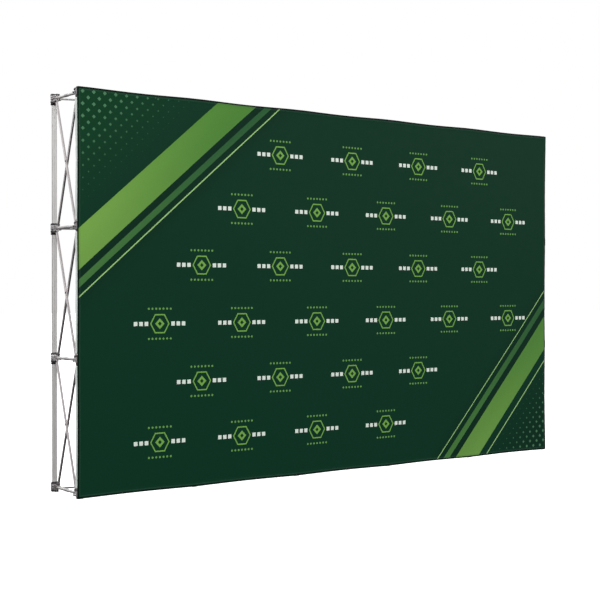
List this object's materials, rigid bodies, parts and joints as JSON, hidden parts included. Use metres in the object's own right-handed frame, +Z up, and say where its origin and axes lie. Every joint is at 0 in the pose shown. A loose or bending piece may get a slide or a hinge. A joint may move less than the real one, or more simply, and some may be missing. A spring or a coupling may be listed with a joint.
{
  "type": "pop up display backwall",
  "caption": "Straight pop up display backwall: a folding lattice of hubs and crossed flat bars that carries one stretched fabric graphic on its front.",
  "frame": {"origin": "middle of the wall's footprint, on the floor under the lowest hubs", "axes": "+X along the wall to the right seen from the front, -Y out of the printed face, +Z up"},
  "size_m": [3.74, 0.3378, 2.271],
  "materials": {
    "hub": "satin grey moulding with dark pins",
    "bar": "satin anodised flat bar",
    "fabric_print": "printed knitted polyester, satin",
    "fabric_white": "white brushed loop fabric"
  },
  "bodies": {
    "front_column_1": {"front_hubs_1": "hub"},
    "front_column_2": {"front_hubs_2": "hub"},
    "front_column_3": {"front_hubs_3": "hub"},
    "front_column_4": {"front_hubs_4": "hub"},
    "front_column_5": {"front_hubs_5": "hub"},
    "front_column_6": {"front_hubs_6": "hub"},
    "rear_column_1": {"rear_hubs_1": "hub"},
    "rear_column_2": {"rear_hubs_2": "hub"},
    "rear_column_3": {"rear_hubs_3": "hub"},
    "rear_column_4": {"rear_hubs_4": "hub"},
    "rear_column_5": {"rear_hubs_5": "hub"},
    "rear_column_6": {"rear_hubs_6": "hub"},
    "level_a_1": {"level_bars_a_1": "bar"},
    "level_a_2": {"level_bars_a_2": "bar"},
    "level_a_3": {"level_bars_a_3": "bar"},
    "level_a_4": {"level_bars_a_4": "bar"},
    "level_a_5": {"level_bars_a_5": "bar"},
    "level_b_1": {"level_bars_b_1": "bar"},
    "level_b_2": {"level_bars_b_2": "bar"},
    "level_b_3": {"level_bars_b_3": "bar"},
    "level_b_4": {"level_bars_b_4": "bar"},
    "level_b_5": {"level_bars_b_5": "bar"},
    "upright_a_1_1": {"upright_bar_a_1_1": "bar"},
    "upright_a_1_2": {"upright_bar_a_1_2": "bar"},
    "upright_a_1_3": {"upright_bar_a_1_3": "bar"},
    "upright_a_2_1": {"upright_bar_a_2_1": "bar"},
    "upright_a_2_2": {"upright_bar_a_2_2": "bar"},
    "upright_a_2_3": {"upright_bar_a_2_3": "bar"},
    "upright_a_3_1": {"upright_bar_a_3_1": "bar"},
    "upright_a_3_2": {"upright_bar_a_3_2": "bar"},
    "upright_a_3_3": {"upright_bar_a_3_3": "bar"},
    "upright_a_4_1": {"upright_bar_a_4_1": "bar"},
    "upright_a_4_2": {"upright_bar_a_4_2": "bar"},
    "upright_a_4_3": {"upright_bar_a_4_3": "bar"},
    "upright_a_5_1": {"upright_bar_a_5_1": "bar"},
    "upright_a_5_2": {"upright_bar_a_5_2": "bar"},
    "upright_a_5_3": {"upright_bar_a_5_3": "bar"},
    "upright_a_6_1": {"upright_bar_a_6_1": "bar"},
    "upright_a_6_2": {"upright_bar_a_6_2": "bar"},
    "upright_a_6_3": {"upright_bar_a_6_3": "bar"},
    "upright_b_1_1": {"upright_bar_b_1_1": "bar"},
    "upright_b_1_2": {"upright_bar_b_1_2": "bar"},
    "upright_b_1_3": {"upright_bar_b_1_3": "bar"},
    "upright_b_2_1": {"upright_bar_b_2_1": "bar"},
    "upright_b_2_2": {"upright_bar_b_2_2": "bar"},
    "upright_b_2_3": {"upright_bar_b_2_3": "bar"},
    "upright_b_3_1": {"upright_bar_b_3_1": "bar"},
    "upright_b_3_2": {"upright_bar_b_3_2": "bar"},
    "upright_b_3_3": {"upright_bar_b_3_3": "bar"},
    "upright_b_4_1": {"upright_bar_b_4_1": "bar"},
    "upright_b_4_2": {"upright_bar_b_4_2": "bar"},
    "upright_b_4_3": {"upright_bar_b_4_3": "bar"},
    "upright_b_5_1": {"upright_bar_b_5_1": "bar"},
    "upright_b_5_2": {"upright_bar_b_5_2": "bar"},
    "upright_b_5_3": {"upright_bar_b_5_3": "bar"},
    "upright_b_6_1": {"upright_bar_b_6_1": "bar"},
    "upright_b_6_2": {"upright_bar_b_6_2": "bar"},
    "upright_b_6_3": {"upright_bar_b_6_3": "bar"},
    "graphic": {"graphic": "fabric_print", "graphic_end_bands": "fabric_white"}
  },
  "joints": [
    {"name": "fold", "type": "hinge", "parent": "front_column_3", "child": "level_a_3", "pos_m": [-0.352, -0.1196, 1.1355], "axis": [0, 0, 1], "range_deg": [0, 69]},
    {"name": "rear_4_on_a_3", "type": "hinge", "parent": "level_a_3", "child": "rear_column_4", "pos_m": [0.352, 0.1224, 1.1355], "axis": [0, 0, 1], "range_deg": [-69, 0]},
    {"name": "cross_3", "type": "hinge", "parent": "level_a_3", "child": "level_b_3", "pos_m": [0, 0.0014, 1.1355], "axis": [0, 0, 1], "range_deg": [-138, 0]},
    {"name": "rear_3_on_b_3", "type": "hinge", "parent": "level_b_3", "child": "rear_column_3", "pos_m": [-0.352, 0.1224, 1.1355], "axis": [0, 0, 1], "range_deg": [0, 69]},
    {"name": "front_4_on_b_3", "type": "hinge", "parent": "level_b_3", "child": "front_column_4", "pos_m": [0.352, -0.1196, 1.1355], "axis": [0, 0, 1], "range_deg": [0, 69]},
    {"name": "a_4_on_front_4", "type": "hinge", "parent": "front_column_4", "child": "level_a_4", "pos_m": [0.386, -0.1196, 1.1355], "axis": [0, 0, 1], "range_deg": [0, 69]},
    {"name": "rear_5_on_a_4", "type": "hinge", "parent": "level_a_4", "child": "rear_column_5", "pos_m": [1.09, 0.1224, 1.1355], "axis": [0, 0, 1], "range_deg": [-69, 0]},
    {"name": "cross_4", "type": "hinge", "parent": "level_a_4", "child": "level_b_4", "pos_m": [0.738, 0.0014, 1.1355], "axis": [0, 0, 1], "range_deg": [-138, 0]},
    {"name": "front_5_on_b_4", "type": "hinge", "parent": "level_b_4", "child": "front_column_5", "pos_m": [1.09, -0.1196, 1.1355], "axis": [0, 0, 1], "range_deg": [0, 69]},
    {"name": "a_5_on_front_5", "type": "hinge", "parent": "front_column_5", "child": "level_a_5", "pos_m": [1.124, -0.1196, 1.1355], "axis": [0, 0, 1], "range_deg": [0, 69]},
    {"name": "rear_6_on_a_5", "type": "hinge", "parent": "level_a_5", "child": "rear_column_6", "pos_m": [1.828, 0.1224, 1.1355], "axis": [0, 0, 1], "range_deg": [-69, 0]},
    {"name": "cross_5", "type": "hinge", "parent": "level_a_5", "child": "level_b_5", "pos_m": [1.476, 0.0014, 1.1355], "axis": [0, 0, 1], "range_deg": [-138, 0]},
    {"name": "front_6_on_b_5", "type": "hinge", "parent": "level_b_5", "child": "front_column_6", "pos_m": [1.828, -0.1196, 1.1355], "axis": [0, 0, 1], "range_deg": [0, 69]},
    {"name": "b_2_on_front_3", "type": "hinge", "parent": "front_column_3", "child": "level_b_2", "pos_m": [-0.386, -0.1196, 1.1355], "axis": [0, 0, 1], "range_deg": [-69, 0]},
    {"name": "rear_2_on_b_2", "type": "hinge", "parent": "level_b_2", "child": "rear_column_2", "pos_m": [-1.09, 0.1224, 1.1355], "axis": [0, 0, 1], "range_deg": [0, 69]},
    {"name": "cross_2", "type": "hinge", "parent": "level_b_2", "child": "level_a_2", "pos_m": [-0.738, 0.0014, 1.1355], "axis": [0, 0, 1], "range_deg": [0, 138]},
    {"name": "front_2_on_a_2", "type": "hinge", "parent": "level_a_2", "child": "front_column_2", "pos_m": [-1.09, -0.1196, 1.1355], "axis": [0, 0, 1], "range_deg": [-69, 0]},
    {"name": "b_1_on_front_2", "type": "hinge", "parent": "front_column_2", "child": "level_b_1", "pos_m": [-1.124, -0.1196, 1.1355], "axis": [0, 0, 1], "range_deg": [-69, 0]},
    {"name": "rear_1_on_b_1", "type": "hinge", "parent": "level_b_1", "child": "rear_column_1", "pos_m": [-1.828, 0.1224, 1.1355], "axis": [0, 0, 1], "range_deg": [0, 69]},
    {"name": "cross_1", "type": "hinge", "parent": "level_b_1", "child": "level_a_1", "pos_m": [-1.476, 0.0014, 1.1355], "axis": [0, 0, 1], "range_deg": [0, 138]},
    {"name": "front_1_on_a_1", "type": "hinge", "parent": "level_a_1", "child": "front_column_1", "pos_m": [-1.828, -0.1196, 1.1355], "axis": [0, 0, 1], "range_deg": [-69, 0]},
    {"name": "upright_a_1_1_foot", "type": "hinge", "parent": "front_column_1", "child": "upright_a_1_1", "pos_m": [-1.8495, -0.1196, 0.0455], "axis": [-1, 0, 0], "range_deg": [0, 69]},
    {"name": "upright_b_1_1_foot", "type": "hinge", "parent": "rear_column_1", "child": "upright_b_1_1", "pos_m": [-1.8405, 0.1224, 0.0455], "axis": [1, 0, 0], "range_deg": [0, 69]},
    {"name": "upright_a_1_2_foot", "type": "hinge", "parent": "front_column_1", "child": "upright_a_1_2", "pos_m": [-1.8495, -0.1196, 0.7835], "axis": [-1, 0, 0], "range_deg": [0, 69]},
    {"name": "upright_b_1_2_foot", "type": "hinge", "parent": "rear_column_1", "child": "upright_b_1_2", "pos_m": [-1.8405, 0.1224, 0.7835], "axis": [1, 0, 0], "range_deg": [0, 69]},
    {"name": "upright_a_1_3_foot", "type": "hinge", "parent": "front_column_1", "child": "upright_a_1_3", "pos_m": [-1.8495, -0.1196, 1.5215], "axis": [-1, 0, 0], "range_deg": [0, 69]},
    {"name": "upright_b_1_3_foot", "type": "hinge", "parent": "rear_column_1", "child": "upright_b_1_3", "pos_m": [-1.8405, 0.1224, 1.5215], "axis": [1, 0, 0], "range_deg": [0, 69]},
    {"name": "upright_a_2_1_foot", "type": "hinge", "parent": "front_column_2", "child": "upright_a_2_1", "pos_m": [-1.1115, -0.1196, 0.0455], "axis": [-1, 0, 0], "range_deg": [0, 69]},
    {"name": "upright_b_2_1_foot", "type": "hinge", "parent": "rear_column_2", "child": "upright_b_2_1", "pos_m": [-1.1025, 0.1224, 0.0455], "axis": [1, 0, 0], "range_deg": [0, 69]},
    {"name": "upright_a_2_2_foot", "type": "hinge", "parent": "front_column_2", "child": "upright_a_2_2", "pos_m": [-1.1115, -0.1196, 0.7835], "axis": [-1, 0, 0], "range_deg": [0, 69]},
    {"name": "upright_b_2_2_foot", "type": "hinge", "parent": "rear_column_2", "child": "upright_b_2_2", "pos_m": [-1.1025, 0.1224, 0.7835], "axis": [1, 0, 0], "range_deg": [0, 69]},
    {"name": "upright_a_2_3_foot", "type": "hinge", "parent": "front_column_2", "child": "upright_a_2_3", "pos_m": [-1.1115, -0.1196, 1.5215], "axis": [-1, 0, 0], "range_deg": [0, 69]},
    {"name": "upright_b_2_3_foot", "type": "hinge", "parent": "rear_column_2", "child": "upright_b_2_3", "pos_m": [-1.1025, 0.1224, 1.5215], "axis": [1, 0, 0], "range_deg": [0, 69]},
    {"name": "upright_a_3_1_foot", "type": "hinge", "parent": "front_column_3", "child": "upright_a_3_1", "pos_m": [-0.3735, -0.1196, 0.0455], "axis": [-1, 0, 0], "range_deg": [0, 69]},
    {"name": "upright_b_3_1_foot", "type": "hinge", "parent": "rear_column_3", "child": "upright_b_3_1", "pos_m": [-0.3645, 0.1224, 0.0455], "axis": [1, 0, 0], "range_deg": [0, 69]},
    {"name": "upright_a_3_2_foot", "type": "hinge", "parent": "front_column_3", "child": "upright_a_3_2", "pos_m": [-0.3735, -0.1196, 0.7835], "axis": [-1, 0, 0], "range_deg": [0, 69]},
    {"name": "upright_b_3_2_foot", "type": "hinge", "parent": "rear_column_3", "child": "upright_b_3_2", "pos_m": [-0.3645, 0.1224, 0.7835], "axis": [1, 0, 0], "range_deg": [0, 69]},
    {"name": "upright_a_3_3_foot", "type": "hinge", "parent": "front_column_3", "child": "upright_a_3_3", "pos_m": [-0.3735, -0.1196, 1.5215], "axis": [-1, 0, 0], "range_deg": [0, 69]},
    {"name": "upright_b_3_3_foot", "type": "hinge", "parent": "rear_column_3", "child": "upright_b_3_3", "pos_m": [-0.3645, 0.1224, 1.5215], "axis": [1, 0, 0], "range_deg": [0, 69]},
    {"name": "upright_a_4_1_foot", "type": "hinge", "parent": "front_column_4", "child": "upright_a_4_1", "pos_m": [0.3645, -0.1196, 0.0455], "axis": [-1, 0, 0], "range_deg": [0, 69]},
    {"name": "upright_b_4_1_foot", "type": "hinge", "parent": "rear_column_4", "child": "upright_b_4_1", "pos_m": [0.3735, 0.1224, 0.0455], "axis": [1, 0, 0], "range_deg": [0, 69]},
    {"name": "upright_a_4_2_foot", "type": "hinge", "parent": "front_column_4", "child": "upright_a_4_2", "pos_m": [0.3645, -0.1196, 0.7835], "axis": [-1, 0, 0], "range_deg": [0, 69]},
    {"name": "upright_b_4_2_foot", "type": "hinge", "parent": "rear_column_4", "child": "upright_b_4_2", "pos_m": [0.3735, 0.1224, 0.7835], "axis": [1, 0, 0], "range_deg": [0, 69]},
    {"name": "upright_a_4_3_foot", "type": "hinge", "parent": "front_column_4", "child": "upright_a_4_3", "pos_m": [0.3645, -0.1196, 1.5215], "axis": [-1, 0, 0], "range_deg": [0, 69]},
    {"name": "upright_b_4_3_foot", "type": "hinge", "parent": "rear_column_4", "child": "upright_b_4_3", "pos_m": [0.3735, 0.1224, 1.5215], "axis": [1, 0, 0], "range_deg": [0, 69]},
    {"name": "upright_a_5_1_foot", "type": "hinge", "parent": "front_column_5", "child": "upright_a_5_1", "pos_m": [1.1025, -0.1196, 0.0455], "axis": [-1, 0, 0], "range_deg": [0, 69]},
    {"name": "upright_b_5_1_foot", "type": "hinge", "parent": "rear_column_5", "child": "upright_b_5_1", "pos_m": [1.1115, 0.1224, 0.0455], "axis": [1, 0, 0], "range_deg": [0, 69]},
    {"name": "upright_a_5_2_foot", "type": "hinge", "parent": "front_column_5", "child": "upright_a_5_2", "pos_m": [1.1025, -0.1196, 0.7835], "axis": [-1, 0, 0], "range_deg": [0, 69]},
    {"name": "upright_b_5_2_foot", "type": "hinge", "parent": "rear_column_5", "child": "upright_b_5_2", "pos_m": [1.1115, 0.1224, 0.7835], "axis": [1, 0, 0], "range_deg": [0, 69]},
    {"name": "upright_a_5_3_foot", "type": "hinge", "parent": "front_column_5", "child": "upright_a_5_3", "pos_m": [1.1025, -0.1196, 1.5215], "axis": [-1, 0, 0], "range_deg": [0, 69]},
    {"name": "upright_b_5_3_foot", "type": "hinge", "parent": "rear_column_5", "child": "upright_b_5_3", "pos_m": [1.1115, 0.1224, 1.5215], "axis": [1, 0, 0], "range_deg": [0, 69]},
    {"name": "upright_a_6_1_foot", "type": "hinge", "parent": "front_column_6", "child": "upright_a_6_1", "pos_m": [1.8405, -0.1196, 0.0455], "axis": [-1, 0, 0], "range_deg": [0, 69]},
    {"name": "upright_b_6_1_foot", "type": "hinge", "parent": "rear_column_6", "child": "upright_b_6_1", "pos_m": [1.8495, 0.1224, 0.0455], "axis": [1, 0, 0], "range_deg": [0, 69]},
    {"name": "upright_a_6_2_foot", "type": "hinge", "parent": "front_column_6", "child": "upright_a_6_2", "pos_m": [1.8405, -0.1196, 0.7835], "axis": [-1, 0, 0], "range_deg": [0, 69]},
    {"name": "upright_b_6_2_foot", "type": "hinge", "parent": "rear_column_6", "child": "upright_b_6_2", "pos_m": [1.8495, 0.1224, 0.7835], "axis": [1, 0, 0], "range_deg": [0, 69]},
    {"name": "upright_a_6_3_foot", "type": "hinge", "parent": "front_column_6", "child": "upright_a_6_3", "pos_m": [1.8405, -0.1196, 1.5215], "axis": [-1, 0, 0], "range_deg": [0, 69]},
    {"name": "upright_b_6_3_foot", "type": "hinge", "parent": "rear_column_6", "child": "upright_b_6_3", "pos_m": [1.8495, 0.1224, 1.5215], "axis": [1, 0, 0], "range_deg": [0, 69]},
    {"name": "graphic_off", "type": "slide", "parent": "front_column_3", "child": "graphic", "axis": [0, -1, 0], "range_m": [0, 0.15]}
  ],
  "couplings": [
    {"joint": "rear_4_on_a_3", "follows": "fold", "ratio": -1},
    {"joint": "cross_3", "follows": "fold", "ratio": -2},
    {"joint": "rear_3_on_b_3", "follows": "fold", "ratio": 1},
    {"joint": "front_4_on_b_3", "follows": "fold", "ratio": 1},
    {"joint": "a_4_on_front_4", "follows": "fold", "ratio": 1},
    {"joint": "rear_5_on_a_4", "follows": "fold", "ratio": -1},
    {"joint": "cross_4", "follows": "fold", "ratio": -2},
    {"joint": "front_5_on_b_4", "follows": "fold", "ratio": 1},
    {"joint": "a_5_on_front_5", "follows": "fold", "ratio": 1},
    {"joint": "rear_6_on_a_5", "follows": "fold", "ratio": -1},
    {"joint": "cross_5", "follows": "fold", "ratio": -2},
    {"joint": "front_6_on_b_5", "follows": "fold", "ratio": 1},
    {"joint": "b_2_on_front_3", "follows": "fold", "ratio": -1},
    {"joint": "rear_2_on_b_2", "follows": "fold", "ratio": 1},
    {"joint": "cross_2", "follows": "fold", "ratio": 2},
    {"joint": "front_2_on_a_2", "follows": "fold", "ratio": -1},
    {"joint": "b_1_on_front_2", "follows": "fold", "ratio": -1},
    {"joint": "rear_1_on_b_1", "follows": "fold", "ratio": 1},
    {"joint": "cross_1", "follows": "fold", "ratio": 2},
    {"joint": "front_1_on_a_1", "follows": "fold", "ratio": -1},
    {"joint": "upright_a_1_1_foot", "follows": "fold", "ratio": 1},
    {"joint": "upright_b_1_1_foot", "follows": "fold", "ratio": 1},
    {"joint": "upright_a_1_2_foot", "follows": "fold", "ratio": 1},
    {"joint": "upright_b_1_2_foot", "follows": "fold", "ratio": 1},
    {"joint": "upright_a_1_3_foot", "follows": "fold", "ratio": 1},
    {"joint": "upright_b_1_3_foot", "follows": "fold", "ratio": 1},
    {"joint": "upright_a_2_1_foot", "follows": "fold", "ratio": 1},
    {"joint": "upright_b_2_1_foot", "follows": "fold", "ratio": 1},
    {"joint": "upright_a_2_2_foot", "follows": "fold", "ratio": 1},
    {"joint": "upright_b_2_2_foot", "follows": "fold", "ratio": 1},
    {"joint": "upright_a_2_3_foot", "follows": "fold", "ratio": 1},
    {"joint": "upright_b_2_3_foot", "follows": "fold", "ratio": 1},
    {"joint": "upright_a_3_1_foot", "follows": "fold", "ratio": 1},
    {"joint": "upright_b_3_1_foot", "follows": "fold", "ratio": 1},
    {"joint": "upright_a_3_2_foot", "follows": "fold", "ratio": 1},
    {"joint": "upright_b_3_2_foot", "follows": "fold", "ratio": 1},
    {"joint": "upright_a_3_3_foot", "follows": "fold", "ratio": 1},
    {"joint": "upright_b_3_3_foot", "follows": "fold", "ratio": 1},
    {"joint": "upright_a_4_1_foot", "follows": "fold", "ratio": 1},
    {"joint": "upright_b_4_1_foot", "follows": "fold", "ratio": 1},
    {"joint": "upright_a_4_2_foot", "follows": "fold", "ratio": 1},
    {"joint": "upright_b_4_2_foot", "follows": "fold", "ratio": 1},
    {"joint": "upright_a_4_3_foot", "follows": "fold", "ratio": 1},
    {"joint": "upright_b_4_3_foot", "follows": "fold", "ratio": 1},
    {"joint": "upright_a_5_1_foot", "follows": "fold", "ratio": 1},
    {"joint": "upright_b_5_1_foot", "follows": "fold", "ratio": 1},
    {"joint": "upright_a_5_2_foot", "follows": "fold", "ratio": 1},
    {"joint": "upright_b_5_2_foot", "follows": "fold", "ratio": 1},
    {"joint": "upright_a_5_3_foot", "follows": "fold", "ratio": 1},
    {"joint": "upright_b_5_3_foot", "follows": "fold", "ratio": 1},
    {"joint": "upright_a_6_1_foot", "follows": "fold", "ratio": 1},
    {"joint": "upright_b_6_1_foot", "follows": "fold", "ratio": 1},
    {"joint": "upright_a_6_2_foot", "follows": "fold", "ratio": 1},
    {"joint": "upright_b_6_2_foot", "follows": "fold", "ratio": 1},
    {"joint": "upright_a_6_3_foot", "follows": "fold", "ratio": 1},
    {"joint": "upright_b_6_3_foot", "follows": "fold", "ratio": 1}
  ]
}
